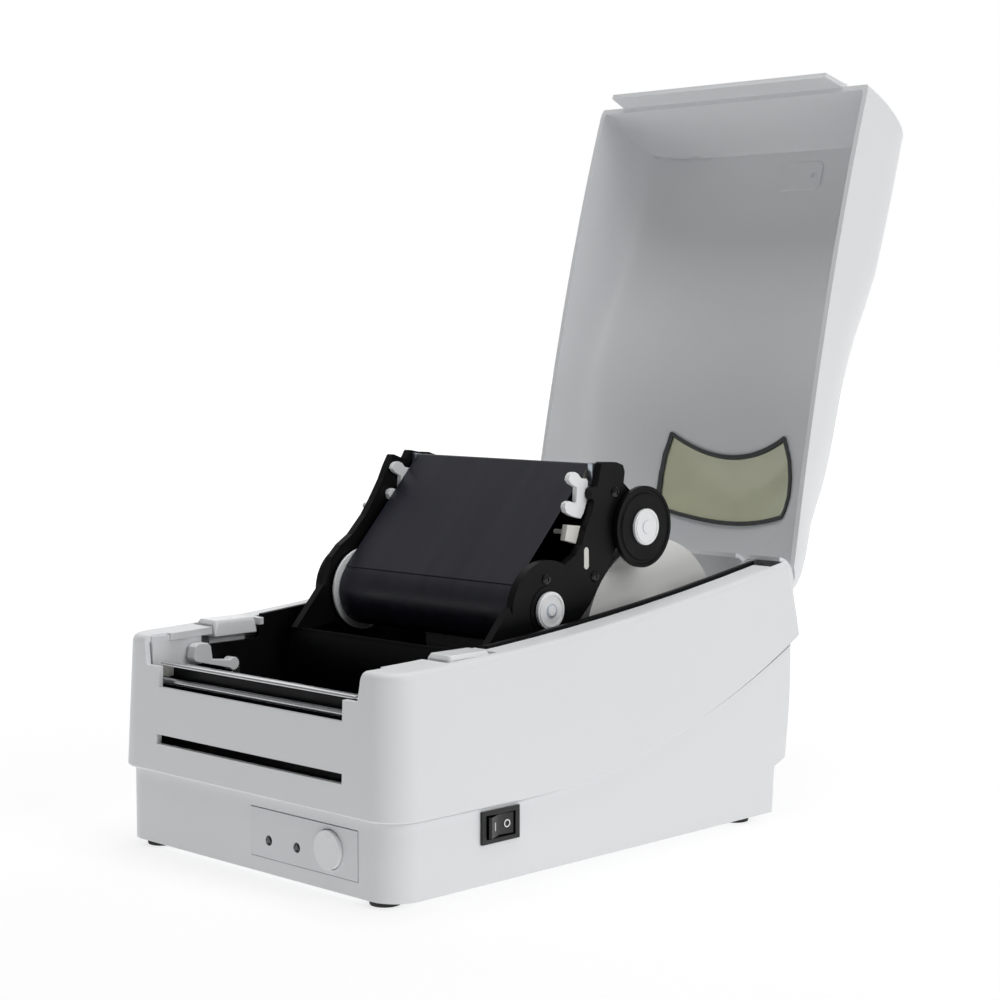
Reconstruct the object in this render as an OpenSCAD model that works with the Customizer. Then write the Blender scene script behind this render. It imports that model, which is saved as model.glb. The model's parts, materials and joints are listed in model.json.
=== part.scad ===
// Desktop thermal-transfer label printer with a lift-up lid and a ribbon carriage that tips up.
// Depths (y) are measured back from the front edge of the case; placed() then moves the origin
// to the table under the middle of the footprint. The rest pose is lid open, carriage raised.

/* [Case] */
// Width of the lower case
case_w = 184; // [176:1:190]
// Depth of the case at its base
case_d = 247; // [244:1:250]
// Height of the rubber feet
foot_h = 3; // [2:0.5:4]
// Wall thickness of the mouldings
wall = 2.6; // [2:0.1:3]
// Width of the upper shell along its lower edge
shell_w = 189.4; // [188:0.2:191]
// Width of the upper shell along its top
shell_top_w = 181.2; // [180:0.2:182]
// Height of the top band at the front
front_h = 97; // [96:0.5:98]
// How much higher the top band is at the back
back_rise = 27.5; // [25:0.5:29]

/* [Motion] */
// How far the lid stands open
lid_open = 109.3; // [100:0.1:109.3]
// How far the ribbon carriage is tipped up
carriage_open = 110.1; // [100:0.1:110.1]

/* [Media] */
// Radius of the label roll
label_r = 48; // [30:1:49]
// Width of the label roll
label_w = 108; // [40:1:110]
// Radius of the ribbon on its supply core
ribbon_r = 17; // [14:0.5:17]
// Width of the ribbon
ribbon_w = 114; // [60:1:114]

/* [Hidden] */
$fn = 48;
half = case_w / 2;
gap = 0.7;
lid_axis = [255, 112.7];
pivot = [119, 82];
pin_r = 3;
run = 0.08;
// Places on the closed carriage
supply = [92.7, 71.6];
takeup = [39.8, 117.9];
nose = [21.9, 84.1];
hook_at = [37.6, 76.8];
plate_in = 60.5;
plate_out = 64.5;
hub_r = 8.5;
shaft_r = 4;
platen = [20, 74.4];
platen_r = 7;
label_c = [203, 88];
bay_half = 78;
throat_half = 71;
chassis_half = 77;
chassis_wall = 2.5;
web_half = 56.6;
cradle_r = 5;
rocker_c = [59.75, 27.4];
button_c = [52.5, 20.3];
white = [0.87, 0.88, 0.89];
black = [0.1, 0.1, 0.1];
steel = [0.72, 0.73, 0.75];

// Height of the top band over the depth
function rim(y) = front_h + back_rise * pow(max(y, 0) / 264, 1.7);
// Height of the seam between the two shells
function seam(y) = y < 75 ? 35.6 : 35.6 + 0.0023 * pow(y - 75, 1.9);
function polar(c, r, a) = [c[0] + r * cos(a), c[1] + r * sin(a)];

module placed() {
    translate([0, -130, 0]) children();
}
// A side outline in (depth, height), extruded across the width from x0 to x1
module across(x0, x1) {
    translate([x0, 0, 0]) rotate([90, 0, 90]) linear_extrude(x1 - x0) children();
}
// A front outline in (x, height), extruded back from y0 to y1
module along(y0, y1) {
    translate([0, y1, 0]) rotate([90, 0, 0]) linear_extrude(y1 - y0) children();
}
// A cylinder along x around a (depth, height) centre
module barrel(c, r, x0, x1, n = 48) {
    translate([x0, c[0], c[1]]) rotate([0, 90, 0]) cylinder(r = r, h = x1 - x0, $fn = n);
}
module box(lo, hi) {
    translate(lo) cube(hi - lo);
}
module both_sides() {
    children();
    mirror([1, 0, 0]) children();
}
module lid_pose() {
    translate([0, lid_axis[0], lid_axis[1]]) rotate([-lid_open, 0, 0])
        translate([0, -lid_axis[0], -lid_axis[1]]) children();
}
module carriage_pose() {
    translate([0, pivot[0], pivot[1]]) rotate([-carriage_open, 0, 0])
        translate([0, -pivot[0], -pivot[1]]) children();
}
// Evaluates a free-form moulding as one skin
module moulding() {
    resize([0, 0, 0]) children();
}

// ---- Case shells ----
// Plan of the case with round corners, from y0 to y1
module plan(h, y0, y1, r_front, r_back) {
    hull() {
        for (s = [-1, 1]) {
            translate([s * (h - r_front), y0 + r_front]) circle(r_front, $fn = 56);
            translate([s * (h - r_back), y1 - r_back]) circle(r_back, $fn = 32);
        }
    }
}
// Side outline of the lower case, moved in by inset, from height low up to the seam or above
module seam_outline(low, inset, rise) {
    polygon(concat([[-8, low], [case_d - inset, low], [case_d + 1.5 - inset, 25 + inset],
        [257 - inset, 28.5 + inset], [263.5 - inset, seam(263.5) + rise]],
        [for (y = [255:-10:75]) [y, seam(y) + rise]], [[-8, seam(0) + rise]]));
}
module lower_case() {
    color(white) placed() moulding() difference() {
        intersection() {
            across(-half - 1, half + 1) seam_outline(foot_h, 0, 0);
            linear_extrude(130) plan(half, 0, 264, 14, 5);
        }
        intersection() {
            across(-half, half) seam_outline(foot_h + wall, wall, 40);
            linear_extrude(130) plan(half - wall, wall, 270, 11.4, 3);
        }
        // Pocket and holes of the control panel
        along(-1, 1.2) panel_outline(0.35);
        along(-1, 9) translate(button_c) circle(9.4);
        for (x = [13, 31.5]) along(-1, 9) translate([x, 17.5]) circle(3);
        // Switch opening
        box([half - 9, 49.4, 21.2], [half + 2, 70.1, 33.6]);
        // Sockets at the back
        box([-74, 238, 7.5], [-56, 262, 23]);
        box([-34.5, 238, 8.5], [-21.5, 262, 21]);
        box([4, 238, 8], [36, 262, 22]);
        // Vents under the case
        for (i = [0:7]) box([-40 + i * 10, 90, 0], [-36 + i * 10, 140, foot_h + wall + 1]);
    }
}
module panel_outline(grow) {
    translate([1.2 - grow, 9.7 - grow]) square([68.8 + 2 * grow, 21 + 2 * grow]);
}
// Points of a plan with round corners, in mirrored pairs from the front to the back and round again
function plan_side(h, y0, y1, r_front, r_back) = concat(
    [for (a = [-90:9:0]) [h - r_front + r_front * cos(a), y0 + r_front + r_front * sin(a)]],
    [for (k = [1:20]) [h, y0 + r_front + k * (y1 - r_back - y0 - r_front) / 21]],
    [for (a = [0:15:90]) [h - r_back + r_back * cos(a), y1 - r_back + r_back * sin(a)]]);
function with_mirror(side) = concat(side, [for (i = [len(side) - 1:-1:0]) [-side[i][0], side[i][1]]]);
// Point of the tapered upper shell on the line from low to high, on the rim or the seam
function shell_point(low, high, at_rim, drop, y, again) =
    let (z = at_rim ? rim(high[1]) - drop : seam(y) + gap + drop, p = low + (high - low) * (z - 35) / 91)
    again == 0 ? [p[0], p[1], z] : shell_point(low, high, at_rim, drop, p[1], again - 1);
// One level of the upper shell: inset in plan, and drop under the rim or over the seam
function shell_ring(inset, at_rim, drop) =
    let (low = with_mirror(plan_side(shell_w / 2 - inset, -3 + inset, 281 - inset, 15 - inset, 6 - inset / 2)),
        high = with_mirror(plan_side(shell_top_w / 2 - inset, inset, 264 - inset, 14 - inset, 6 - inset / 2)))
    [for (i = [0:len(low) - 1]) shell_point(low[i], high[i], at_rim, drop, low[i][1], 5)];
// Solid through a stack of rings whose points are mirrored pairs
module loft(rings) {
    n = len(rings[0]);
    top = (len(rings) - 1) * n;
    polyhedron([for (ring = rings) each ring], concat(
        [for (k = [0:len(rings) - 2], i = [0:n - 1]) let (a = k * n + i, b = k * n + (i + 1) % n) [a, a + n, b + n]],
        [for (k = [0:len(rings) - 2], i = [0:n - 1]) let (a = k * n + i, b = k * n + (i + 1) % n) [a, b + n, b]],
        [for (i = [0:n / 2 - 2]) [i, i + 1, n - 2 - i, n - 1 - i]],
        [for (i = [0:n / 2 - 2]) [top + i, top + n - 1 - i, top + n - 2 - i, top + i + 1]]));
}
edge_r = 3.2;
module upper_shell() {
    color(white) placed() moulding() union() {
        shell_skin();
        // Inner walls beside the print line
        both_sides() box([throat_half + 1, 2.4, 81.2], [throat_half + 3, 30, 96.4]);
    }
}
module shell_skin() {
    difference() {
        union() {
            difference() {
                loft([shell_ring(0.8, false, 0), shell_ring(0, false, 0.8),
                    for (a = [0:22.5:90]) shell_ring(edge_r * (1 - cos(a)), true, edge_r * (1 - sin(a)))]);
                loft([shell_ring(wall, false, -12), shell_ring(wall, true, wall + 0.6)]);
            }
            // Rolled back edge around the hinge line
            intersection() {
                across(-88, 88) difference() {
                    translate(lid_axis) circle(13, $fn = 64);
                    translate(lid_axis) circle(10.4, $fn = 64);
                    translate([lid_axis[0] - 20, 60]) square([21.5, 80]);
                }
                box([-88, 240, 99], [88, 290, 140]);
            }
            across(-88, 88) polygon([[256.6, 97], [256.6, 101.6], [260.5, 101.6], [262, 100.6],
                [269, 95.9], [269, 92], [264, 92]]);
        }
        // Open top over the mechanism and the media bay
        box([-throat_half, 7, 60], [throat_half, 80, 200]);
        box([-bay_half, 66, 60], [bay_half, 256.3, 200]);
        along(-10, 12) polygon([[-71.6, 84.2], [71.6, 84.2], [73.8, 97.6], [73.8, 200], [-73.8, 200], [-73.8, 97.6]]);
        box([-62.5, -10, 75], [62.5, 12, 200]);
        // Back edge, open to let the lid swing
        difference() {
            box([-88.4, 252, 96], [88.4, 290, 200]);
            barrel(lid_axis, 13.001, -89, 89, 64);
            across(-89, 89) polygon([[250, 90], [250, 101.6], [260.5, 101.6], [262, 100.6], [269.1, 95.9], [269.1, 90]]);
        }
        barrel(lid_axis, 11, -88.4, 88.4, 64);
        both_sides() box([61, 250, 96], [69.6, 290, 200]);
        // Backing-paper slot
        box([-63, -10, 49.4], [63, 12, 53.8]);
        // Wells of the latch buttons
        both_sides() box([60, 35.4, 80], [86.6, 63.6, 120]);
    }
}
module inner_chassis() {
    inside = chassis_half - chassis_wall;
    color(black) placed() difference() {
        union() {
            // Side walls, low beside the latches
            both_sides() across(inside, chassis_half) polygon(concat(
                [[9, 40], [251, 40]], [for (y = [251:-15:86]) [y, rim(y) + 1.2]],
                [[68, rim(68) + 1], [66, 89.4], [30.6, 89.4], [30.6, 80.8], [9, 80.8]]));
            // Sloping path of the label web, and the floor of the bay
            across(-web_half, web_half) polygon([[128, 30.6], [128, 33.2], [30, 70.2], [30, 67.6]]);
            across(-inside, inside) polygon([[128, 30.6], [128, 33.2], [76, 46.4], [76, 43.8]]);
            box([-inside, 128, 30.6], [inside, 252, 33.2]);
            both_sides() box([inside, 120, 30.6], [chassis_half, 252, 40]);
            box([-chassis_half, 251.6, 31.4], [chassis_half, 254, 97]);
            // Cross beam behind the tear bar, and the chute for the backing paper
            box([-inside, 9, 56], [inside, 11.4, 80.8]);
            box([-throat_half, 9, 80], [throat_half, 11.4, 82.6]);
            across(-66, inside) polygon([[9, 46], [34, 58], [34, 60], [9, 48]]);
            box([inside - 1, 9, 46], [inside, 30, 67.6]);
            // Cradles of the label spindle
            both_sides() box([66, 191, 33.2], [70, 215, 94]);
        }
        both_sides() barrel(pivot, pin_r, 70, 80);
        both_sides() barrel(platen, 5, 70, 80);
        barrel(label_c, cradle_r + run, -71, 71);
        both_sides() box([65, label_c[0] - cradle_r - run, label_c[1]],
            [71, label_c[0] + cradle_r + run, 110]);
        barrel(idler_c, 2.5, -80, -70);
        barrel(pinion_c, 2.4, -80, -70);
        box([-8, 60, 40], [8, 76, 62]);
    }
}
module control_panel() {
    color([0.85, 0.86, 0.87]) placed() difference() {
        along(-0.3, 1.1) panel_outline(0);
        along(-2, 3) translate(button_c) circle(8.6);
        for (x = [13, 31.5]) along(-2, 3) translate([x, 17.5]) circle(2.2);
    }
}
module led_lenses() {
    color([0.16, 0.17, 0.16]) placed() for (x = [13, 31.5])
        along(-0.4, 6) translate([x, 17.5]) rotate(90) circle(2.1, $fn = 3);
}
module feed_button() {
    color(white) placed() {
        translate([button_c[0], 1.2, button_c[1]]) rotate([90, 0, 0]) cylinder(r = 8.3, h = 3.2, $fn = 64);
        translate([button_c[0], 8.2, button_c[1]]) rotate([90, 0, 0]) cylinder(r = 3, h = 7);
    }
}
module switch_bezel() {
    c = rocker_c;
    color(black) placed() difference() {
        union() {
            box([half, c[0] - 11.25, c[1] - 7.1], [half + 1.4, c[0] + 11.25, c[1] + 7.1]);
            box([half - 15, c[0] - 10, c[1] - 6], [half, c[0] + 10, c[1] + 6]);
        }
        box([half - 12, c[0] - 8.6, c[1] - 4.9], [half + 2, c[0] + 8.6, c[1] + 4.9]);
    }
}
module power_rocker() {
    c = rocker_c;
    color([0.06, 0.06, 0.07]) placed() translate([half, c[0], c[1] - 4.5]) linear_extrude(9)
        polygon([[-7, -3.6], [-7, 3.6], [-0.6, 8], [0.8, 7.8], [0.1, 0], [3.2, -7.4], [2, -8]]);
    color([0.06, 0.06, 0.07]) placed() translate([half - 3, c[0], c[1] - 4.7]) cylinder(r = 2, h = 9.4);
}
module rubber_feet() {
    color(black) placed() for (s = [-1, 1], foot = [[76, 9.5], [82, 231]])
        translate([s * foot[0], foot[1], 0]) cylinder(r1 = 6.4, r2 = 7, h = foot_h);
}

// ---- Print line ----
module tear_bar() {
    color(steel) placed() across(-66, 66) polygon([[2, 84.4], [2.2, 85.6], [4, 86], [9, 84.6],
        [11.4, 84.6], [11.4, 82.7], [9, 82.7], [9, 83.8], [4, 84.8]]);
}
module lower_guide_bar() {
    color(steel) placed() barrel([5.6, 76.8], 1.6, -70.6, 70.6);
}
module platen_bushings() {
    color([0.82, 0.82, 0.8]) placed() both_sides() difference() {
        union() {
            barrel(platen, 5 - 0.001, 73, 77);
            barrel(platen, 6, 72, 74.5 - 0.001);
        }
        barrel(platen, 3 + run, 70, 80);
    }
}
module platen_rubber() {
    color([0.13, 0.13, 0.13]) placed() difference() {
        barrel(platen, platen_r, -57, 57, 64);
        barrel(platen, 4, -60, 60);
    }
}
module platen_shaft() {
    color(steel) placed() {
        barrel(platen, 4, -60, 60);
        barrel(platen, 3, -84, 79);
    }
}
// Spur gear blank with teeth, along x
module gear(c, teeth, r, x0, x1, hole, turn) {
    difference() {
        union() {
            barrel(c, r - 1.1, x0, x1);
            translate([x0, c[0], c[1]]) rotate([90, 0, 90]) for (i = [0:teeth - 1])
                rotate(i * 360 / teeth + turn) translate([r - 1.4, 0]) linear_extrude(x1 - x0)
                    polygon([[0, -0.72], [0, 0.72], [2.2, 0.36], [2.2, -0.36]]);
        }
        if (hole > 0) barrel(c, hole, x0 - 1, x1 + 1);
    }
}
idler_c = [37, 62];
pinion_c = [51.5, 54];
// Turns that put the teeth in mesh at rest
idler_turn = 5.5;
pinion_turn = 16.5;
module platen_gear() {
    color([0.8, 0.8, 0.78]) placed() gear(platen, 24, 12, -83, -79, 3, 0);
}
module idler_gear() {
    color([0.8, 0.8, 0.78]) placed() gear(idler_c, 18, 9, -83, -79, 2.5 + run, idler_turn);
}
module motor_pinion() {
    color(steel) placed() {
        gear(pinion_c, 14, 7, -83, -79, 0, pinion_turn);
        barrel(pinion_c, 1.5, -79, -72);
    }
}
// Plate that carries the motor inside the chassis wall, and the post of the idler
module motor_plate() {
    color(steel) placed() {
        difference() {
            across(-74.4, -73) polygon([[35, 36], [35, 63.6], [72, 50.4], [72, 36]]);
            barrel(pinion_c, 6, -80, -70);
        }
        barrel(idler_c, 2.5, -84, -73);
        barrel(idler_c, 3.6, -78.6, -77.02);
    }
}
module stepper_motor() {
    color([0.2, 0.2, 0.22]) placed() difference() {
        translate([-72.9, pinion_c[0] - 18, 31.5]) cube([26, 36, 25]);
        barrel(pinion_c, 1.6, -80, -60);
        across(-80, -40) polygon([[30, 56], [30, 70], [75, 70], [75, 49]]);
    }
}
module main_board() {
    color([0.1, 0.3, 0.18]) placed() box([-80, 96, 13], [60, 227.6, 14.6]);
}
module board_components() {
    color([0.15, 0.15, 0.16]) placed() {
        box([-20, 130, 14.6], [4, 154, 17]);
        box([20, 140, 14.6], [34, 152, 17.5]);
        box([-70, 110, 14.6], [-50, 126, 24]);
        for (i = [0:3]) translate([-64 + i * 14, 150, 14.6]) cylinder(r = 5, h = 13, $fn = 32);
        for (i = [0:4]) box([14 + i * 8, 110, 14.6], [20 + i * 8, 118, 19]);
    }
}
module socket(x0, x1, z0, z1, t) {
    difference() {
        box([x0, 232, z0], [x1, 247.4, z1]);
        box([x0 + t, 236, z0 + t], [x1 - t, 250, z1 - t]);
    }
}
module usb_socket() {
    color(steel) placed() socket(-34, -22, 9, 20.5, 1.1);
}
module serial_socket() {
    color(steel) placed() socket(4.5, 35.5, 8.6, 21.4, 1.5);
}
module power_inlet() {
    color(black) placed() {
        difference() {
            box([-73.5, 228, 8], [-56.5, 247.4, 22.5]);
            translate([-65, 236, 15.2]) rotate([-90, 0, 0]) cylinder(r = 5, h = 20);
        }
        translate([-65, 235.9, 15.2]) rotate([-90, 0, 0]) cylinder(r = 1.2, h = 10, $fn = 24);
    }
}
module case_screws() {
    color(steel) placed() for (s = [-1, 1], y = [40, 205]) translate([s * 76, y, foot_h - 1.2]) difference() {
        cylinder(r = 3.2, h = 1.2);
        translate([0, 0, -1]) linear_extrude(1.7) square([4, 0.8], center = true);
    }
}
module label_sensor() {
    color(black) placed() {
        box([-7.4, 60.6, 48], [7.4, 75.4, 53]);
        box([-5, 64, 53], [5, 72, 55.5]);
    }
}
module lid_hinge_pins() {
    color(steel) placed() both_sides() {
        barrel(lid_axis, pin_r, 60.6, 76);
        barrel(lid_axis, 10.999, 70.2, 74, 64);
    }
}
module carriage_pivot_pins() {
    color(steel) placed() both_sides() {
        barrel(pivot, pin_r, 60, 77);
        barrel(pivot, 5, 65.2, 74.4);
    }
}
// Push block of a carriage latch on its stem, with soft edges and a domed top
module latch_button() {
    color(white) placed() {
        box([77.8, 39, 84], [85.2, 60, 93]);
        hull() {
            box([71, 37.2, 93], [85.6, 61.8, 93.6]);
            for (x = [73.6, 83.2], y = [39.6, 59.4]) {
                translate([x, y, 96.6]) cylinder(r = 2.4, h = 2, $fn = 32);
                translate([x, y, 99]) cylinder(r = 1.2, h = 1.4, $fn = 32);
            }
        }
    }
}
module latch_button_right() {
    latch_button();
}
module latch_button_left() {
    mirror([1, 0, 0]) latch_button();
}
module latch_catches() {
    color(steel) placed() both_sides() {
        across(71.2, 74.4) polygon([[47, 67], [52, 67], [52, 78], [50, 80], [47, 80]]);
        box([71.2, 44, 65.6], [74.4, 54, 67]);
    }
}
// Lever with a white finger block, beside the left end of the platen
module release_knob() {
    color(white) placed() {
        across(-70.8, -65.6) polygon([[20.6, 85.2], [21.6, 90.4], [23.4, 91.6], [29, 91.6], [30.6, 90],
            [31.6, 83.6], [42, 82.4], [42, 78.6], [30, 81.6], [22, 83.6]]);
        barrel([44, 80.5], 3, -70.8, -65.6);
    }
}
module label_guide() {
    color(black) placed() {
        across(56, 58) polygon([[52, 62.6], [78, 52.8], [78, 57.8], [52, 67.6]]);
        across(40, 56) polygon([[52, 62.6], [78, 52.8], [78, 54.2], [52, 64]]);
    }
}
module label_guide_right() {
    label_guide();
}
module label_guide_left() {
    mirror([1, 0, 0]) label_guide();
}

// ---- Label roll ----
module label_paper() {
    color([0.96, 0.96, 0.94]) placed() difference() {
        barrel(label_c, label_r, -label_w / 2, label_w / 2, 96);
        barrel(label_c, 14.5, -label_w, label_w);
    }
}
module label_core() {
    color([0.66, 0.54, 0.4]) placed() difference() {
        barrel(label_c, 14.5, -label_w / 2, label_w / 2);
        barrel(label_c, 12.7, -label_w, label_w);
    }
}
module label_spindle() {
    color(black) placed() {
        barrel(label_c, cradle_r, -71, 71);
        barrel(label_c, 9, -58, 58);
    }
}
module label_flanges() {
    color([0.88, 0.88, 0.86]) placed() both_sides() difference() {
        union() {
            barrel(label_c, 12.6, 50, 54.4);
            barrel(label_c, 20, 54.4, 57.4);
        }
        barrel(label_c, 9, 40, 60);
    }
}

// ---- Lid ----
// Middle height of the closed lid over its depth
function crown(y) = y < 14 ? rim(y) + 0.4 + (150 - 97.4) * pow(sin(90 * min(1, (y - 1.5) / 9.5)), 0.5)
    : y < 110 ? 150 + 1.5 * sin((y - 14) * 180 / 96)
    : y < 222 ? 150 + 28 * pow((1 - cos((y - 110) * 180 / 112)) / 2, 1.35)
    : rim(y) + 3 + (178 - rim(y) - 3) * sqrt(max(0, 1 - pow((y - 222) / 42.5, 2.6)));
// Roundness of the lid's section: boxy at the front, domed at the back
function fullness(y) = y < 100 ? 6 : y > 215 ? 1.75 : 6 - 4.25 * pow((y - 100) / 115, 0.5);
function lid_half(y) = y < 6 ? 89 - 3.6 * (1 - sqrt(max(0, 1 - pow((6 - y) / 6, 2))))
    : y > 243 ? 89 - 20 * (1 - sqrt(max(0, 1 - pow((y - 243) / 21.5, 2)))) : 89;
function lid_foot(y) = rim(y) + 0.4;
function lid_point(y, a, t) =
    let (n = fullness(y), w = lid_half(y) - t, h = max(1.2, crown(y) - lid_foot(y)) - t)
    [w * sign(cos(a)) * pow(abs(cos(a)), 2 / n), y, lid_foot(y) + max(0.4, h) * pow(abs(sin(a)), 2 / n)];
LID_Y = [1.5, 1.8, 2.6, 4, 6, 8.5, 11, 14, 25, 45, 65, 85, 105, 120, 135, 147, 158, 168, 178, 188, 198,
    208, 218, 228, 236, 243, 249, 254, 258, 261, 263, 264];
LID_A = [for (i = [0:32]) i * 180 / 32];
// Solid under the lid's skin, moved in by t, sides open downwards
module lid_form(t, sink) {
    n = len(LID_Y);
    m = len(LID_A);
    k = m + (sink > 0 ? 2 : 0);
    pts = [for (i = [0:n - 1]) let (y = LID_Y[i], yy = y < 14 ? y + t * (14 - y) / 12.5
            : y > 243 ? y - t * (y - 243) / 21 : y)
        for (j = [0:k - 1])
            j < m ? let (p = lid_point(y, LID_A[j], t)) [p[0], yy, p[2]]
            : j == m ? [-lid_half(y) + t, yy, lid_foot(y) - sink]
            : [lid_half(y) - t, yy, lid_foot(y) - sink]];
    polyhedron(pts, concat(
        [for (i = [0:n - 2], j = [0:k - 1]) [i * k + j, (i + 1) * k + (j + 1) % k, (i + 1) * k + j]],
        [for (i = [0:n - 2], j = [0:k - 1]) [i * k + j, i * k + (j + 1) % k, (i + 1) * k + (j + 1) % k]],
        [[for (j = [k - 1:-1:0]) j]], [[for (j = [0:k - 1]) (n - 1) * k + j]]));
}
// Plan of the window: a broad smile, narrower at its ends
module window_plan(grow) {
    offset(grow) polygon(concat(
        [for (x = [-38:4:38]) [x, 179.2 - 9.9 * pow(x / 38, 2)]],
        [[42, 180], [43.6, 190], [43.8, 199], [42.4, 206], [40.7, 209.2]],
        [for (x = [36:-6:-36]) [x, 212.7 - 3.5 * pow(x / 40.7, 2)]],
        [[-40.7, 209.2], [-42.4, 206], [-43.8, 199], [-43.6, 190], [-42, 180]]));
}
module lid_tongue() {
    difference() {
        along(-0.6, 4.2) polygon([[-71, 84.6], [71, 84.6], [73, 97.4], [76, 101], [-76, 101], [-73, 97.4]]);
        box([-80, 1.8, 80], [80, 20, 97.3]);
    }
}
module lid_shell() {
    color(white) placed() lid_pose() moulding() difference() {
        union() {
            difference() {
                lid_form(0, 0);
                lid_form(wall, 3);
            }
            intersection() {
                lid_tongue();
                union() {
                    box([-80, -1, 80], [80, 1.9, 99]);
                    lid_form(0, 0);
                }
            }
        }
        linear_extrude(220) window_plan(0);
        // Lower back edge, clear of the rolled edge of the case
        barrel(lid_axis, 14, -100, 100, 64);
        box([-100, 256, 100], [100, 280, 127.5]);
    }
}
module lid_window() {
    color([0.6, 0.62, 0.5]) placed() lid_pose() moulding() intersection() {
        difference() {
            lid_form(0.5, 0);
            lid_form(2.3, 3);
        }
        linear_extrude(220) window_plan(-0.05);
    }
}
module window_seal() {
    color([0.25, 0.26, 0.26]) placed() lid_pose() moulding() intersection() {
        difference() {
            lid_form(wall + 0.05, 3);
            lid_form(wall + 1.1, 4);
        }
        linear_extrude(220) difference() {
            window_plan(1.1);
            window_plan(-1);
        }
    }
}
module lid_hinge_arms() {
    color(white) placed() lid_pose() both_sides() difference() {
        across(62, 68.6) polygon(concat([for (a = [200:20:360]) polar(lid_axis, 6.5, a)],
            [[261.4, 118], [260.6, 131], [257, 140], [250, 146], [248.6, 138], [250.4, 126]]));
        barrel(lid_axis, pin_r + run, 60, 72);
    }
}
module lid_inner_plate() {
    color(white) placed() lid_pose() translate([4, 18, 147]) linear_extrude(1.2) difference() {
        offset(4, $fn = 32) offset(-4) square([28, 16]);
        translate([23, 8]) circle(1.5);
    }
}

// ---- Ribbon carriage ----
// Side outline of a carriage plate above the ribbon, with its arm, skirt edge and roll bosses
module plate_outline() {
    offset(1.6) offset(-1.6) polygon([[19.6, 83], [16.6, 92.5], [16.4, 97.4], [19, 99.6], [24, 100.6], [28, 112],
        [34, 126], [50, 122], [53, 106], [60, 105.2], [83, 98], [92, 93], [112, 91], [127, 88], [127, 76],
        [113, 68], [111, 60], [95, 50], [78, 62], [73.2, 72.8], [65, 80.4], [59, 83.4], [50.5, 83.4], [44.8, 84.7],
        [36, 84.6]]);
    hull() {
        translate(hook_pin) circle(3.3);
        translate([36.4, 89]) circle(3.3);
    }
    translate(supply) circle(22.4);
    translate(takeup) circle(14);
    translate(pivot) circle(9);
    polygon([[98, 48], [121.5, 38.8], [123, 41.2], [112, 62]]);
    polygon(concat([for (a = [-88:4:-52]) polar(pivot, 41.6, a)], [for (a = [-52:-4:-88]) polar(pivot, 34, a)]));
}
// Deeper edge of the left plate, which reaches below the ribbon
module left_edge() {
    offset(1.2) offset(-1.2) polygon([[25, 69.6], [25, 78.6], [19.6, 79.8], [18, 90], [90, 92], [95, 50], [84, 48.6],
        [76.7, 52.2], [70, 57.4], [58.5, 62.6], [50, 65], [39, 67.5], [31.6, 68.3]]);
}
// Slot in the plate, and of the pad that fills it
module slot_outline() {
    hull() {
        translate([60.6, 87.4]) circle(1.9);
        translate([66.8, 89.8]) circle(1.9);
    }
}
carriage_turn = 110.1;
function rotate_by(p) = [p[0] * cos(carriage_turn) - p[1] * sin(carriage_turn),
    p[0] * sin(carriage_turn) + p[1] * cos(carriage_turn)];
hook_pin = hook_at + rotate_by([8.2, 0.5]);
module carriage_plate() {
    color(black) placed() carriage_pose() difference() {
        union() {
            across(plate_in, plate_out) difference() {
                union() {
                    plate_outline();
                    children();
                }
                slot_outline();
            }
            barrel(supply, 11, plate_out, plate_out + 0.4);
        }
        barrel(supply, shaft_r + run, 50, 80);
        barrel(takeup, shaft_r + run, 50, 80);
        barrel(pivot, pin_r + run, 50, 80);
        barrel(hook_pin, 2 + run, plate_in - 1, plate_in + 2.7);
    }
}
module carriage_plate_right() {
    carriage_plate();
}
module carriage_plate_left() {
    mirror([1, 0, 0]) carriage_plate() left_edge();
}
module carriage_bridge() {
    color(black) placed() carriage_pose() {
        across(-plate_in, plate_in) polygon([[46, 100], [72, 98.4], [84, 94.4], [85, 96.6], [73, 101], [46, 102.6]]);
        across(-plate_in, plate_in) polygon([[27, 94.6], [29.4, 94.6], [29.4, 101], [27, 101]]);
        across(-plate_in, plate_in) polygon([[66.4, 90], [68.4, 90], [68.4, 98.4], [66.4, 98.5]]);
    }
}
// Curved skirt under the ribbon, with a thin lip at its front edge
module web_guard() {
    color([0.14, 0.14, 0.16]) placed() carriage_pose() across(-plate_in, plate_in) {
        polygon(concat([for (a = [-86:2:-52]) polar(pivot, 41.4, a)], [for (a = [-52:-2:-86]) polar(pivot, 40.2, a)]));
        polygon([polar(pivot, 41.6, -87.6), polar(pivot, 41.6, -86), polar(pivot, 38.6, -86), polar(pivot, 38.6, -87.6)]);
    }
}
module print_head() {
    color([0.75, 0.72, 0.66]) placed() carriage_pose()
        across(-55, 55) polygon([[21.2, 84.6], [22, 83.2], [34, 84.6], [34, 88.6], [22.6, 88.6], [21.6, 86]]);
}
module heat_sink() {
    color([0.62, 0.66, 0.72]) placed() carriage_pose() {
        across(-57, 57) polygon([[22.6, 88.6], [38, 88.6], [38, 91], [23.1, 91]]);
        for (i = [0:4]) across(-50, 50) translate([24.6 + i * 3, 91]) square([1.1, 3.2]);
        both_sides() box([57, 31, 88.6], [60.2, 38, 91]);
        both_sides() across(57.4, 60.2) polygon([[20.6, 81.4], [18.8, 90.5], [26, 92], [31, 91], [31, 88.6], [26.6, 83.4]]);
    }
}
// Straight run of ribbon between two points, t thick, standing off to the left of its direction
module run_of_film(a, b, t) {
    d = (b - a) / norm(b - a);
    n = [-d[1], d[0]];
    polygon([a, b, b + n * t, a + n * t]);
}
film_t = 0.3;
takeup_r = 10;
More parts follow.
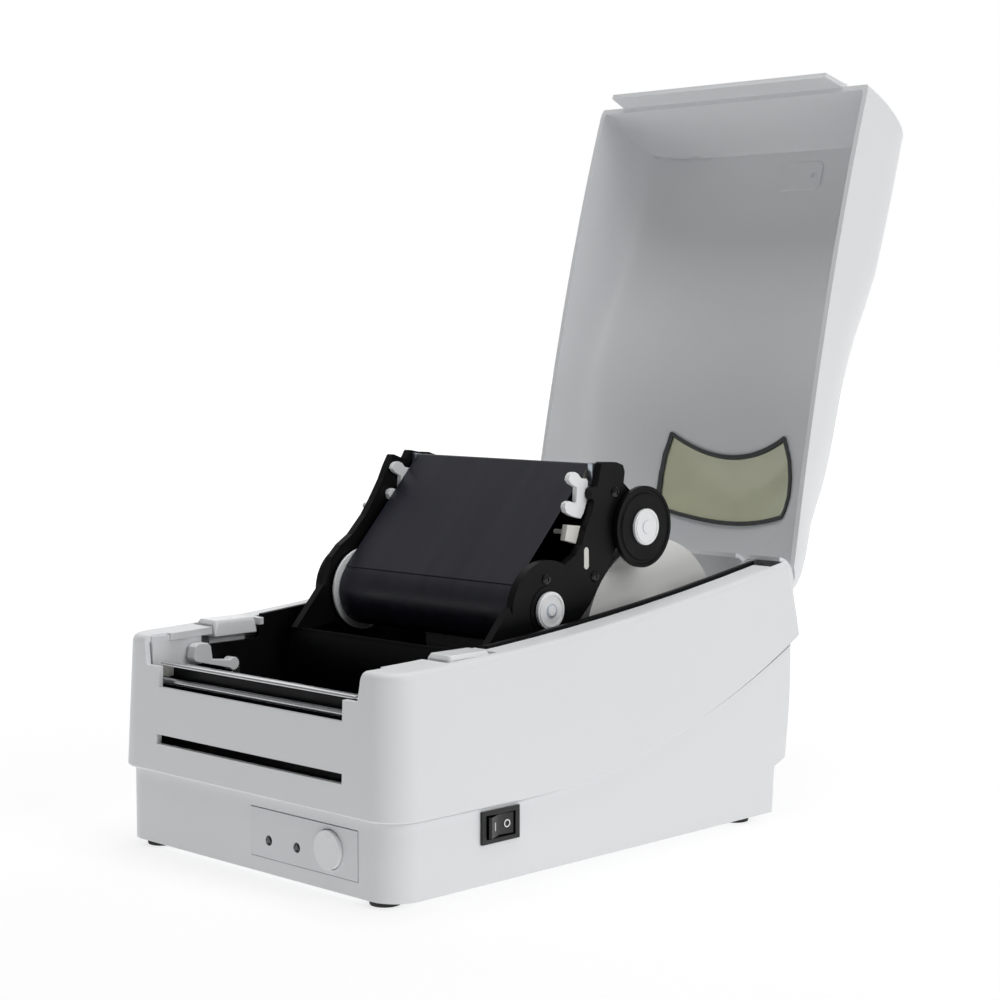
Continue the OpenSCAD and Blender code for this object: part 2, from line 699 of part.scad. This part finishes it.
// Line that touches circles c1 and c2 on the same side, s picks the side
function tangent(c1, r1, c2, r2, s) =
    let (v = c2 - c1, a = atan2(v[1], v[0]) + s * acos((r1 - r2) / norm(v)))
    [polar(c1, r1, a), polar(c2, r2, a), a];
nose_r = 1.4;
module ribbon_film() {
    lower = tangent(nose, nose_r, supply, ribbon_r + 0.1, -1);
    upper = tangent(nose, nose_r, takeup, takeup_r + 0.1, 1);
    color([0.16, 0.16, 0.19]) placed() carriage_pose() across(-ribbon_w / 2, ribbon_w / 2) {
        run_of_film(lower[0], lower[1], -film_t);
        run_of_film(upper[0], upper[1], film_t);
        polygon(concat([for (k = [0:8]) polar(nose, nose_r + film_t, upper[2] + k * (lower[2] + 360 - upper[2]) / 8)],
            [for (k = [8:-1:0]) polar(nose, nose_r, upper[2] + k * (lower[2] + 360 - upper[2]) / 8)]));
    }
}
module guide_rods() {
    color(steel) placed() carriage_pose() {
        barrel([74, 92], 2, -plate_in, plate_in);
        barrel([32, 105], 1.5, -plate_in, plate_in);
    }
}
// Shape drawn as it stands in the raised carriage, around the hook
module standing() {
    translate(hook_at) rotate(carriage_turn) children();
}
// White sensor plug and its pin, a pad in the slot below it, and a stud on the left plate
module sensor_plug() {
    color([0.9, 0.9, 0.88]) placed() carriage_pose() {
        across(plate_in - 3.1, plate_in) standing() polygon([[-6.6, -13], [3, -14.2], [0.6, -22.4], [-8.2, -20]]);
        across(plate_in - 10, plate_in - 3.1) standing() translate([-4.4, -16.6]) circle(1.1, $fn = 24);
        across(plate_in + 1, plate_out - 0.4) slot_outline();
        barrel([52.4, 68.6], 1.4, -70, -plate_out, 24);
    }
}
// C-shaped retainer of the ribbon roll, on a short pin in the plate
module hook() {
    color(white) placed() carriage_pose() {
        across(plate_in - 3.1, plate_in - 0.4) standing() translate([8.2, 0.5]) circle(3.2);
        across(plate_in - 3.1, plate_in - 0.4) standing() polygon([[-1.3, 10.6], [-3.4, 10.2], [-4.8, 9], [-5.4, 7.2],
            [-3.8, 5.4], [0.2, 3.6], [-0.2, -3], [-1.4, -3.6], [-5, -2.4], [-7.4, -3.2], [-8, -5], [-7, -7.4],
            [-3.4, -9.2], [2.6, -10.8], [4.6, -8.4], [7, -2.6], [7.5, 5.8], [6.6, 7.2], [3, 7.6], [0.8, 9.8]]);
        barrel(hook_pin, 2, plate_in - 0.4, plate_in + 2.5);
    }
}
module hook_right() {
    hook();
}
module hook_left() {
    mirror([1, 0, 0]) hook();
}
// Shallow ring cut into a face
module rim_ring(c, outer, inner, x0, x1) {
    difference() {
        barrel(c, outer, x0, x1);
        barrel(c, inner, x0 - 1, x1 + 1);
    }
}
module supply_roll() {
    color([0.13, 0.13, 0.15]) placed() carriage_pose() difference() {
        barrel(supply, ribbon_r, -ribbon_w / 2, ribbon_w / 2, 96);
        barrel(supply, 12.7, -60, 60);
    }
}
module supply_hubs() {
    color(white) placed() carriage_pose() {
        barrel(supply, 12.7, -56, 56);
        barrel(supply, shaft_r, -71, 65.2);
        barrel(supply, hub_r, 65.2, 67);
        barrel(supply, 2.4, 67, 67.6);
        barrel(supply, 19.8, -58.8, -57.4, 72);
    }
}
module supply_disc() {
    color(black) placed() carriage_pose() difference() {
        union() {
            barrel(supply, 21, -70, -66.2, 72);
            barrel(supply, 14.8, -66.2, -65.2);
        }
        barrel(supply, shaft_r, -75, -60);
    }
}
module takeup_core() {
    color([0.16, 0.16, 0.18]) placed() carriage_pose() {
        barrel(takeup, takeup_r, -ribbon_w / 2, ribbon_w / 2);
        barrel(takeup, shaft_r, -69, 69);
    }
}
module takeup_discs() {
    color(black) placed() carriage_pose() difference() {
        union() {
            barrel(takeup, 19, 65.4, 68, 72);
            barrel(takeup, 12, -68, -65.4);
        }
        barrel(takeup, shaft_r, -80, 80);
        rim_ring(takeup, 17.4, 15.6, 67.4, 68.1);
    }
}
// White hubs pressed on the ends of the take-up shaft
module takeup_hubs() {
    color(white) placed() carriage_pose() both_sides() difference() {
        union() {
            barrel(takeup, hub_r, 68, 69.6);
            barrel(takeup, 3.2, 69.6, 70.2);
        }
        barrel(takeup, shaft_r, 60, 69);
    }
}

lower_case();
upper_shell();
inner_chassis();
control_panel();
led_lenses();
feed_button();
switch_bezel();
power_rocker();
rubber_feet();
tear_bar();
lower_guide_bar();
platen_bushings();
platen_rubber();
platen_shaft();
platen_gear();
idler_gear();
motor_pinion();
stepper_motor();
motor_plate();
main_board();
board_components();
usb_socket();
serial_socket();
power_inlet();
case_screws();
label_sensor();
lid_hinge_pins();
carriage_pivot_pins();
latch_button_left();
latch_button_right();
latch_catches();
release_knob();
label_guide_left();
label_guide_right();
label_paper();
label_core();
label_spindle();
label_flanges();
lid_shell();
lid_window();
window_seal();
lid_hinge_arms();
lid_inner_plate();
carriage_plate_left();
carriage_plate_right();
carriage_bridge();
web_guard();
print_head();
heat_sink();
ribbon_film();
guide_rods();
sensor_plug();
hook_left();
hook_right();
supply_roll();
supply_hubs();
supply_disc();
takeup_core();
takeup_discs();
takeup_hubs();
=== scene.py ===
"""Desktop label printer, lid open, ribbon carriage tipped up: materials and fine detail around the CAD model."""
import json
import math

import bmesh
import bpy
from mathutils import Matrix, Vector


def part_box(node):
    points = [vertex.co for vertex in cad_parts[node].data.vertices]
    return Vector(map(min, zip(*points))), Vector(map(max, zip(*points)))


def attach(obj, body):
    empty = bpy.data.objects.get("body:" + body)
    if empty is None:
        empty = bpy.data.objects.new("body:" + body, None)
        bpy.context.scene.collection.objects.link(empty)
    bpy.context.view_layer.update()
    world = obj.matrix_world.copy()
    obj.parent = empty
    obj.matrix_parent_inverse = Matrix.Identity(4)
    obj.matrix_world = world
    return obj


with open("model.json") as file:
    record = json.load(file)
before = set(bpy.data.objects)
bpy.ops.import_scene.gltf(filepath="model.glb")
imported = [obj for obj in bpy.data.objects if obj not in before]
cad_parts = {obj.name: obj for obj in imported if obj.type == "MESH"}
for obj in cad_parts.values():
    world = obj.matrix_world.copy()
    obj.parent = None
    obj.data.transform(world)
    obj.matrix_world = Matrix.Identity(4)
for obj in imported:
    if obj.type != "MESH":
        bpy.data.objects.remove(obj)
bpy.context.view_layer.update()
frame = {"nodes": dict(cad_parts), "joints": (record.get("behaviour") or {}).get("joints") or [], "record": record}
NODES = frame["nodes"]
JOINTS = {j["name"]: j for j in frame["joints"]}
MM = 0.001

# Camera, fitted to the case's edges: 50 mm class view from the front right corner, a little above the case
CAMERA_AT = (0.7199, -0.7049, 0.2324)
CAMERA_TURN = (90 - 4.364, 0, 44.67)
CAMERA_LENS = 77.53

# Room brightness by direction: white behind the case, dimmer to the sides and behind the camera
BACKDROP_TOWARDS = (-0.703, 0.711, 0.0)
ROOM_BEHIND_CAMERA = 0.08
ROOM_SIDES = 0.25
FLOOR_SPAN = 1.6


# ---------------------------------------------------------------- materials
def new_material(name):
    mat = bpy.data.materials.new(name)
    mat.use_nodes = True
    tree = mat.node_tree
    return mat, tree, tree.nodes["Principled BSDF"]


def node(tree, kind, **inputs):
    made = tree.nodes.new(kind)
    for key, value in inputs.items():
        made.inputs[key.replace("_", " ")].default_value = value
    return made


def noise(tree, coords, scale, detail=3.0, rough=0.55):
    made = node(tree, "ShaderNodeTexNoise", Scale=scale, Detail=detail, Roughness=rough)
    tree.links.new(coords, made.inputs["Vector"])
    return made


def ramp(tree, source, stops):
    made = tree.nodes.new("ShaderNodeValToRGB")
    elements = made.color_ramp.elements
    while len(elements) < len(stops):
        elements.new(0.5)
    for element, (place, colour) in zip(elements, stops):
        element.position = place
        element.color = (*colour, 1) if len(colour) == 3 else colour
    tree.links.new(source, made.inputs["Fac"])
    return made


def grey(v):
    return (v, v, v)


def object_coords(tree):
    return tree.nodes.new("ShaderNodeTexCoord").outputs["Object"]


def bump_chain(tree, shader, layers):
    """Adds bumps one after another: each layer is (height socket, strength, distance)."""
    last = None
    for height, strength, distance in layers:
        made = node(tree, "ShaderNodeBump", Strength=strength, Distance=distance)
        tree.links.new(height, made.inputs["Height"])
        if last:
            tree.links.new(last.outputs["Normal"], made.inputs["Normal"])
        last = made
    tree.links.new(last.outputs["Normal"], shader.inputs["Normal"])


def moulded(name, colour, shade=0.97, rough=(0.36, 0.5), grain=2600, grain_depth=0.02, coat=0.0, shine=0.45):
    """Moulded plastic: fine spark-eroded grain, faint cloudy colour and uneven gloss."""
    mat, tree, shader = new_material(name)
    at = object_coords(tree)
    cloud = noise(tree, at, 14, 4)
    darker = tuple(c * shade for c in colour)
    tone = ramp(tree, cloud.outputs["Fac"], [(0.3, darker), (0.7, colour)])
    tree.links.new(tone.outputs["Color"], shader.inputs["Base Color"])
    patchy = noise(tree, at, 45, 5)
    gloss = ramp(tree, patchy.outputs["Fac"], [(0.3, grey(rough[0])), (0.7, grey(rough[1]))])
    tree.links.new(gloss.outputs["Color"], shader.inputs["Roughness"])
    fine = noise(tree, at, grain, 2)
    broad = noise(tree, at, 60, 2)
    waves, grains = (broad.outputs["Fac"], 0.05, 0.0004), (fine.outputs["Fac"], 0.25, grain_depth * MM)
    bump_chain(tree, shader, [waves, grains])
    shader.inputs["Specular IOR Level"].default_value = shine
    if coat:
        shader.inputs["Coat Weight"].default_value = coat
        shader.inputs["Coat Roughness"].default_value = 0.2
    return mat


def metal(name, colour, rough=(0.18, 0.32), stretch=(4, 400, 400)):
    """Drawn or brushed metal: streaks run along the piece's long side."""
    mat, tree, shader = new_material(name)
    at = object_coords(tree)
    mapping = tree.nodes.new("ShaderNodeMapping")
    mapping.inputs["Scale"].default_value = stretch
    tree.links.new(at, mapping.inputs["Vector"])
    streaks = noise(tree, mapping.outputs["Vector"], 4, 6)
    tone = ramp(tree, streaks.outputs["Fac"], [(0.3, tuple(c * 0.86 for c in colour)), (0.7, colour)])
    tree.links.new(tone.outputs["Color"], shader.inputs["Base Color"])
    gloss = ramp(tree, streaks.outputs["Fac"], [(0.3, grey(rough[0])), (0.7, grey(rough[1]))])
    tree.links.new(gloss.outputs["Color"], shader.inputs["Roughness"])
    shader.inputs["Metallic"].default_value = 1.0
    bump_chain(tree, shader, [(streaks.outputs["Fac"], 0.12, 0.00005)])
    return mat


def film(name):
    """Wax-resin ribbon: satin blue-black with faint tension streaks along its travel."""
    mat, tree, shader = new_material(name)
    at = object_coords(tree)
    mapping = tree.nodes.new("ShaderNodeMapping")
    mapping.inputs["Scale"].default_value = (60, 5, 5)
    tree.links.new(at, mapping.inputs["Vector"])
    streaks = noise(tree, mapping.outputs["Vector"], 2.2, 4)
    blues = [(0.3, (0.0113, 0.0116, 0.0200)), (0.75, (0.0162, 0.0166, 0.0285))]
    tone = ramp(tree, streaks.outputs["Fac"], blues)
    tree.links.new(tone.outputs["Color"], shader.inputs["Base Color"])
    gloss = ramp(tree, streaks.outputs["Fac"], [(0.3, grey(0.34)), (0.7, grey(0.44))])
    tree.links.new(gloss.outputs["Color"], shader.inputs["Roughness"])
    speck = noise(tree, at, 3000, 2)
    bump_chain(tree, shader, [(streaks.outputs["Fac"], 0.18, 0.0003), (speck.outputs["Fac"], 0.1, 0.00001)])
    shader.inputs["Specular IOR Level"].default_value = 0.42
    return mat


def wound(name, colour, axis_at, layer, rough=0.8):
    """Wound stock: rings of layers on the end faces, plain matt on the outside."""
    mat, tree, shader = new_material(name)
    at = object_coords(tree)
    shift = tree.nodes.new("ShaderNodeMapping")
    shift.inputs["Location"].default_value = (0, -axis_at[1], -axis_at[2])
    shift.inputs["Scale"].default_value = (0, 1, 1)
    tree.links.new(at, shift.inputs["Vector"])
    rings = tree.nodes.new("ShaderNodeTexWave")
    rings.wave_type = "RINGS"
    rings.rings_direction = "SPHERICAL"
    rings.inputs["Scale"].default_value = 1 / layer
    rings.inputs["Distortion"].default_value = 1.2
    rings.inputs["Detail"].default_value = 2
    rings.inputs["Detail Scale"].default_value = 1.5
    tree.links.new(shift.outputs["Vector"], rings.inputs["Vector"])
    tone = ramp(tree, rings.outputs["Fac"], [(0.2, tuple(c * 0.9 for c in colour)), (0.8, colour)])
    tree.links.new(tone.outputs["Color"], shader.inputs["Base Color"])
    fibre = noise(tree, at, 900, 4)
    gloss = ramp(tree, fibre.outputs["Fac"], [(0.3, grey(rough - 0.1)), (0.7, grey(rough))])
    tree.links.new(gloss.outputs["Color"], shader.inputs["Roughness"])
    bump_chain(tree, shader, [(rings.outputs["Fac"], 0.15, 0.0001), (fibre.outputs["Fac"], 0.2, 0.00003)])
    return mat


def tinted_window(name):
    """Translucent olive window: tinted, slightly cloudy, with moulding flow lines."""
    mat, tree, shader = new_material(name)
    at = object_coords(tree)
    flow = noise(tree, at, 18, 3)
    tone = ramp(tree, flow.outputs["Fac"], [(0.3, (0.45, 0.46, 0.34)), (0.7, (0.53, 0.54, 0.39))])
    tree.links.new(tone.outputs["Color"], shader.inputs["Base Color"])
    gloss = ramp(tree, flow.outputs["Fac"], [(0.3, grey(0.1)), (0.7, grey(0.17))])
    tree.links.new(gloss.outputs["Color"], shader.inputs["Roughness"])
    shader.inputs["Transmission Weight"].default_value = 0.55
    shader.inputs["IOR"].default_value = 1.49
    shader.inputs["Specular IOR Level"].default_value = 0.5
    bump_chain(tree, shader, [(flow.outputs["Fac"], 0.08, 0.0005)])
    return mat


LABEL_AXIS = JOINTS["label_roll_spin"]["pos_m"]
CASE_COLOUR = (0.80, 0.815, 0.83)
MATERIALS = {
    "case_white": moulded("case_white", CASE_COLOUR, 0.985, (0.36, 0.46)),
    "panel_white": moulded("panel_white", (0.76, 0.78, 0.80), 0.98, (0.3, 0.4)),
    "button_white": moulded("button_white", (0.86, 0.87, 0.88), 0.98, (0.25, 0.36), coat=0.2),
    "black_plastic": moulded("black_plastic", (0.0038, 0.0038, 0.0045), 0.7, (0.36, 0.5), 1800, 0.03,
                             shine=0.16),
    "switch_black": moulded("switch_black", (0.006, 0.006, 0.0065), 0.8, (0.2, 0.3), 2600, 0.01, 0.15,
                            shine=0.35),
    "lens_dark": moulded("lens_dark", (0.05, 0.055, 0.05), 0.8, (0.12, 0.2), 800, 0.005, 0.4),
    "rubber_black": moulded("rubber_black", (0.02, 0.02, 0.02), 0.75, (0.62, 0.8), 1500, 0.05),
    "bright_steel": metal("bright_steel", (0.78, 0.79, 0.81)),
    "natural_nylon": moulded("natural_nylon", (0.74, 0.73, 0.68), 0.94, (0.4, 0.5)),
    "motor_dark": metal("motor_dark", (0.12, 0.12, 0.13), (0.35, 0.5), (200, 200, 200)),
    "board_green": moulded("board_green", (0.02, 0.14, 0.06), 0.7, (0.25, 0.4), 500, 0.05, 0.3),
    "component_dark": moulded("component_dark", (0.03, 0.03, 0.033), 0.8, (0.4, 0.6)),
    "label_paper": wound("label_paper", (0.93, 0.93, 0.91), LABEL_AXIS, 0.0011),
    "card": wound("card", (0.42, 0.30, 0.19), LABEL_AXIS, 0.0008, 0.9),
    "window_olive": tinted_window("window_olive"),
    "seal_grey": moulded("seal_grey", (0.075, 0.08, 0.08), 0.8, (0.55, 0.7), 1200, 0.05),
    "ribbon_black": film("ribbon_black"),
    "head_ceramic": moulded("head_ceramic", (0.62, 0.6, 0.54), 0.92, (0.15, 0.25)),
    "head_alloy": metal("head_alloy", (0.62, 0.68, 0.76), (0.3, 0.42), (6, 300, 300)),
}


def dress(obj, slot):
    obj.data.materials.clear()
    obj.data.materials.append(MATERIALS[slot])


def smooth_edges(obj, width, angle=32, segments=2):
    """Softens a CAD node's edges with a small bevel; its own vertices stay where they are."""
    weld = obj.modifiers.new("weld", "WELD")
    weld.merge_threshold = 0.00001
    flat = obj.modifiers.new("flat_faces", "DECIMATE")
    flat.decimate_type = "DISSOLVE"
    flat.angle_limit = math.radians(0.5)
    bevel = obj.modifiers.new("bevel", "BEVEL")
    bevel.width = width
    bevel.segments = segments
    bevel.limit_method = "ANGLE"
    bevel.angle_limit = math.radians(angle)
    even = obj.modifiers.new("even_normals", "WEIGHTED_NORMAL")
    even.weight = 60
    for face in obj.data.polygons:
        face.use_smooth = True


SLOT_OF = {s["node"]: s["material_slot"] for s in frame["record"]["subparts"]}
# Bevel widths; most nodes take the small one
SMALL_BEVEL = 0.0003
WIDE_BEVELS = {"lower_case": 0.0005, "upper_shell": 0.0005, "lid_shell": 0.0006}
for name, obj in NODES.items():
    dress(obj, SLOT_OF[name])
    smooth_edges(obj, WIDE_BEVELS.get(name, SMALL_BEVEL))


# ---------------------------------------------------------------- fine detail
# How far the carriage is tipped up at rest
CARRIAGE_TURN = -math.radians(110.1)


def add_piece(name, bm, slot, body, bevel=0.0002):
    """Links a finished bmesh as a piece that moves with body and takes that slot's material."""
    bmesh.ops.recalc_face_normals(bm, faces=bm.faces)
    mesh = bpy.data.meshes.new(name)
    bm.to_mesh(mesh)
    bm.free()
    obj = bpy.data.objects.new(name, mesh)
    bpy.context.scene.collection.objects.link(obj)
    obj.data.materials.append(MATERIALS[slot])
    if bevel:
        smooth_edges(obj, bevel)
    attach(obj, body)
    return obj


def add_turned(bm, at, profile, segments=40, axis="X"):
    """Adds a turned solid to bm: profile is (distance along the axis, radius), ending on the axis."""
    turn = {"X": Matrix.Rotation(math.pi / 2, 4, "Y"), "-X": Matrix.Rotation(-math.pi / 2, 4, "Y"),
            "Y": Matrix.Rotation(-math.pi / 2, 4, "X"), "Z": Matrix.Identity(4)}[axis]
    move = Matrix.Translation(at) @ turn
    rings = []
    for along, radius in profile:
        if radius == 0:
            rings.append([bm.verts.new(move @ Vector((0, 0, along)))])
        else:
            rings.append([bm.verts.new(move @ Vector((radius * math.cos(a), radius * math.sin(a), along)))
                          for a in (2 * math.pi * k / segments for k in range(segments))])
    for low, high in zip(rings, rings[1:]):
        for k in range(segments):
            n = (k + 1) % segments
            if len(low) == 1:
                bm.faces.new((low[0], high[n], high[k]))
            elif len(high) == 1:
                bm.faces.new((low[k], low[n], high[0]))
            else:
                bm.faces.new((low[k], low[n], high[n], high[k]))


def add_bar(bm, at, size, turn=None):
    """Adds a block centred at a point, turned by a matrix, to bm."""
    place = Matrix.Translation(at) @ (turn or Matrix.Identity(4)) @ Matrix.Diagonal((*size, 1))
    bmesh.ops.create_cube(bm, size=1.0, matrix=place)


def joint_at(name):
    return Vector(JOINTS[name]["pos_m"])


def add_ring(bm, at, profile, segments, turn=None):
    """Adds a ring about X to bm: profile is (distance along X, radius) and closes on itself."""
    turn = turn or Matrix.Identity(4)
    rings = []
    for along, radius in profile:
        rings.append([bm.verts.new(at + turn @ Vector((along, radius * math.cos(a), radius * math.sin(a))))
                      for a in (2 * math.pi * k / segments for k in range(segments))])
    for low, high in zip(rings, rings[1:] + rings[:1]):
        for k in range(segments):
            n = (k + 1) % segments
            bm.faces.new((low[k], low[n], high[n], high[k]))


HUB_RELIEF = 0.0004
HUB_RING_WIDTH = 0.0009
HUB_RING_SLOPE = 0.0001
HUB_FACE_INSET = 0.0006
HUB_RIM_RADIUS = 0.0068
HUB_SHAFT_RADIUS = 0.0024


def hub_face(name, joint, hubs, body, side):
    """Raised white rim on the end of a hub, and a metal ring around the shaft end."""
    face_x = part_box(hubs)[1 if side > 0 else 0][0] - side * HUB_FACE_INSET
    centre = joint_at(joint)
    parts = (("_rim", HUB_RIM_RADIUS, "button_white"), ("_shaft_ring", HUB_SHAFT_RADIUS, "head_alloy"))
    for part, radius, slot in parts:
        bm = bmesh.new()
        profile = [(0, radius), (side * HUB_RELIEF, radius + HUB_RING_SLOPE),
                   (side * HUB_RELIEF, radius + HUB_RING_WIDTH - HUB_RING_SLOPE), (0, radius + HUB_RING_WIDTH)]
        add_ring(bm, Vector((face_x, centre.y, centre.z)), profile, 48)
        add_piece(name + part, bm, slot, body, 0)


# How far the frame's origin lies behind the case's front edge, in mm
ORIGIN_DEPTH = 130


def closed_to_raised(y, z):
    """Where a point of the lowered carriage, depth from the case front and height in mm, stands raised."""
    pivot = joint_at("carriage_hinge")
    dy = (y - ORIGIN_DEPTH) * MM - pivot.y
    dz = z * MM - pivot.z
    return (pivot.y + dy * math.cos(CARRIAGE_TURN) - dz * math.sin(CARRIAGE_TURN),
            pivot.z + dy * math.sin(CARRIAGE_TURN) + dz * math.cos(CARRIAGE_TURN))


# Turned profile of a pan head with a recess: distance from the plate, radius
PAN_HEAD = [(0, 0.0026), (0.0004, 0.00255), (0.0009, 0.0020), (0.0011, 0.0009), (0.0007, 0.0008), (0.0007, 0)]
# Depth from the case front and height of each screw on the lowered carriage, in mm
SCREW_POINTS = ((30, 96.5), (70, 96.5), (104, 86), (80, 66))
# Raised pad around the supply shaft, which stands out from the plate's face
PLATE_PAD = 0.0004


def carriage_screws():
    """Pan-head screws on the outer faces of the carriage plates."""
    for side, name in ((1, "right"), (-1, "left")):
        node_name = "carriage_plate_" + name
        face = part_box(node_name)[1 if side > 0 else 0][0] - side * PLATE_PAD
        bm = bmesh.new()
        for y, z in SCREW_POINTS:
            at_y, at_z = closed_to_raised(y, z)
            add_turned(bm, (face, at_y, at_z), [(0, 0)] + PAN_HEAD, 28, "X" if side > 0 else "-X")
        add_piece("plate_screws_" + name, bm, "switch_black", "carriage", 0)


# The rocker's marks: how far each lies from the hinge, its outer face's place in X and its face's tilt
MARK_REACH = 0.0042
MARK_RELIEF = 0.0002
RING_FACE_X, RING_TILT = 0.0925, -5
BAR_FACE_X, BAR_TILT = 0.09395, 22.7


def rocker_marks():
    """Plain on and off marks, a bar and a ring, standing on the faces of the rocker."""
    low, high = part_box("power_rocker")
    middle_z = (low[2] + high[2]) / 2
    hinge = joint_at("rocker_tilt")
    outer, inner = 0.0017, 0.0012
    bm = bmesh.new()
    profile = [(0, outer), (MARK_RELIEF, outer), (MARK_RELIEF, inner), (0, inner)]
    add_ring(bm, Vector((RING_FACE_X, hinge.y + MARK_REACH, middle_z)), profile, 32,
             Matrix.Rotation(math.radians(RING_TILT), 4, "Z"))
    add_bar(bm, Vector((BAR_FACE_X, hinge.y - MARK_REACH, middle_z)), (MARK_RELIEF, 0.0006, 0.0036),
            Matrix.Rotation(math.radians(BAR_TILT), 4, "Z"))
    add_piece("rocker_marks", bm, "button_white", "power_rocker", 0)


# End blocks of the front bars: distance of their middles from the centre plane, and size
END_BLOCK_X = 0.0672
END_BLOCK_SIZE = (0.0042, 0.0034, 0.0052)


def bar_ends():
    """Small light end blocks that carry the tear bar and the lower bar in the front notch."""
    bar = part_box("lower_guide_bar")
    bm = bmesh.new()
    for side in (1, -1):
        add_bar(bm, (side * END_BLOCK_X, bar[0][1] + 0.0035, bar[1][2] + 0.0028), END_BLOCK_SIZE)
    add_piece("tear_bar_end_blocks", bm, "natural_nylon", "case", 0.0004)


hub_face("takeup_hub_right", "takeup_spin", "takeup_hubs", "ribbon_takeup", 1)
hub_face("takeup_hub_left", "takeup_spin", "takeup_hubs", "ribbon_takeup", -1)
hub_face("supply_hub", "supply_spin", "supply_hubs", "ribbon_supply", 1)
carriage_screws()
rocker_marks()
bar_ends()


# ---------------------------------------------------------------- stage
def make_stage():
    """Floor that glows with painted light: brightest behind the case, dimmer in front of it, so that the case
    stands on pure white.
    """
    mesh = bpy.data.meshes.new("studio_floor")
    reach = 9.0
    corners = [(-reach, -reach, 0), (reach, -reach, 0), (reach, reach, 0), (-reach, reach, 0)]
    mesh.from_pydata(corners, [], [(0, 1, 2, 3)])
    floor = bpy.data.objects.new("studio_floor", mesh)
    bpy.context.scene.collection.objects.link(floor)
    mat, tree, shader = new_material("studio_floor")
    at = object_coords(tree)
    facing = tree.nodes.new("ShaderNodeVectorMath")
    facing.operation = "DOT_PRODUCT"
    facing.inputs[1].default_value = BACKDROP_TOWARDS
    tree.links.new(at, facing.inputs[0])
    spread = tree.nodes.new("ShaderNodeMapRange")
    spread.inputs["From Min"].default_value = -FLOOR_SPAN
    spread.inputs["From Max"].default_value = FLOOR_SPAN
    tree.links.new(facing.outputs["Value"], spread.inputs["Value"])
    # Painted light: the floor's own glow, dim in front of the case and white behind it
    stops = [(0.2, grey(0.22)), (0.30, grey(0.65)), (0.6, grey(0.73)), (0.8, grey(1.0))]
    glow = ramp(tree, spread.outputs["Result"], stops)
    cloud = noise(tree, at, 3, 2)
    tone = ramp(tree, cloud.outputs["Fac"], [(0.3, grey(0.34)), (0.7, grey(0.36))])
    tree.links.new(tone.outputs["Color"], shader.inputs["Base Color"])
    tree.links.new(glow.outputs["Color"], shader.inputs["Emission Color"])
    shader.inputs["Emission Strength"].default_value = 1.0
    shader.inputs["Roughness"].default_value = 0.95
    shader.inputs["Specular IOR Level"].default_value = 0.0
    mesh.materials.append(mat)


def lamp(name, at, aim, size, power, colour=(1, 1, 1)):
    data = bpy.data.lights.new(name, "AREA")
    data.shape = "RECTANGLE"
    data.size, data.size_y = size
    data.energy = power
    data.color = colour
    obj = bpy.data.objects.new(name, data)
    obj.location = at
    obj.rotation_euler = (Vector(aim) - Vector(at)).to_track_quat("-Z", "Y").to_euler()
    bpy.context.scene.collection.objects.link(obj)


def make_light():
    """Studio: white backdrop behind the case only, dimmer walls elsewhere, and large soft lamps."""
    world = bpy.data.worlds.new("room")
    world.use_nodes = True
    tree = world.node_tree
    direction = tree.nodes.new("ShaderNodeTexCoord").outputs["Generated"]
    facing = tree.nodes.new("ShaderNodeVectorMath")
    facing.operation = "DOT_PRODUCT"
    facing.inputs[1].default_value = BACKDROP_TOWARDS
    tree.links.new(direction, facing.inputs[0])
    spread = tree.nodes.new("ShaderNodeMapRange")
    spread.inputs["From Min"].default_value = -1
    tree.links.new(facing.outputs["Value"], spread.inputs["Value"])
    stops = [(0.0, grey(ROOM_BEHIND_CAMERA)), (0.7, grey(ROOM_SIDES)), (0.9, grey(1.0))]
    tone = ramp(tree, spread.outputs["Result"], stops)
    tree.links.new(tone.outputs["Color"], tree.nodes["Background"].inputs["Color"])
    bpy.context.scene.world = world
    middle = (0, 0, 0.12)
    lamp("right_softbox", (1.7, 0.1, 0.9), middle, (1.0, 1.2), 12)
    lamp("overhead_softbox", (0.1, 0.0, 2.2), middle, (1.6, 1.6), 24)
    bpy.context.scene.view_settings.view_transform = "Standard"


def make_camera():
    data = bpy.data.cameras.new("camera")
    data.lens = CAMERA_LENS
    data.sensor_width = 36
    data.clip_start = 0.05
    obj = bpy.data.objects.new("camera", data)
    obj.location = CAMERA_AT
    obj.rotation_euler = [math.radians(v) for v in CAMERA_TURN]
    bpy.context.scene.collection.objects.link(obj)
    bpy.context.scene.camera = obj


make_stage()
make_light()
make_camera()
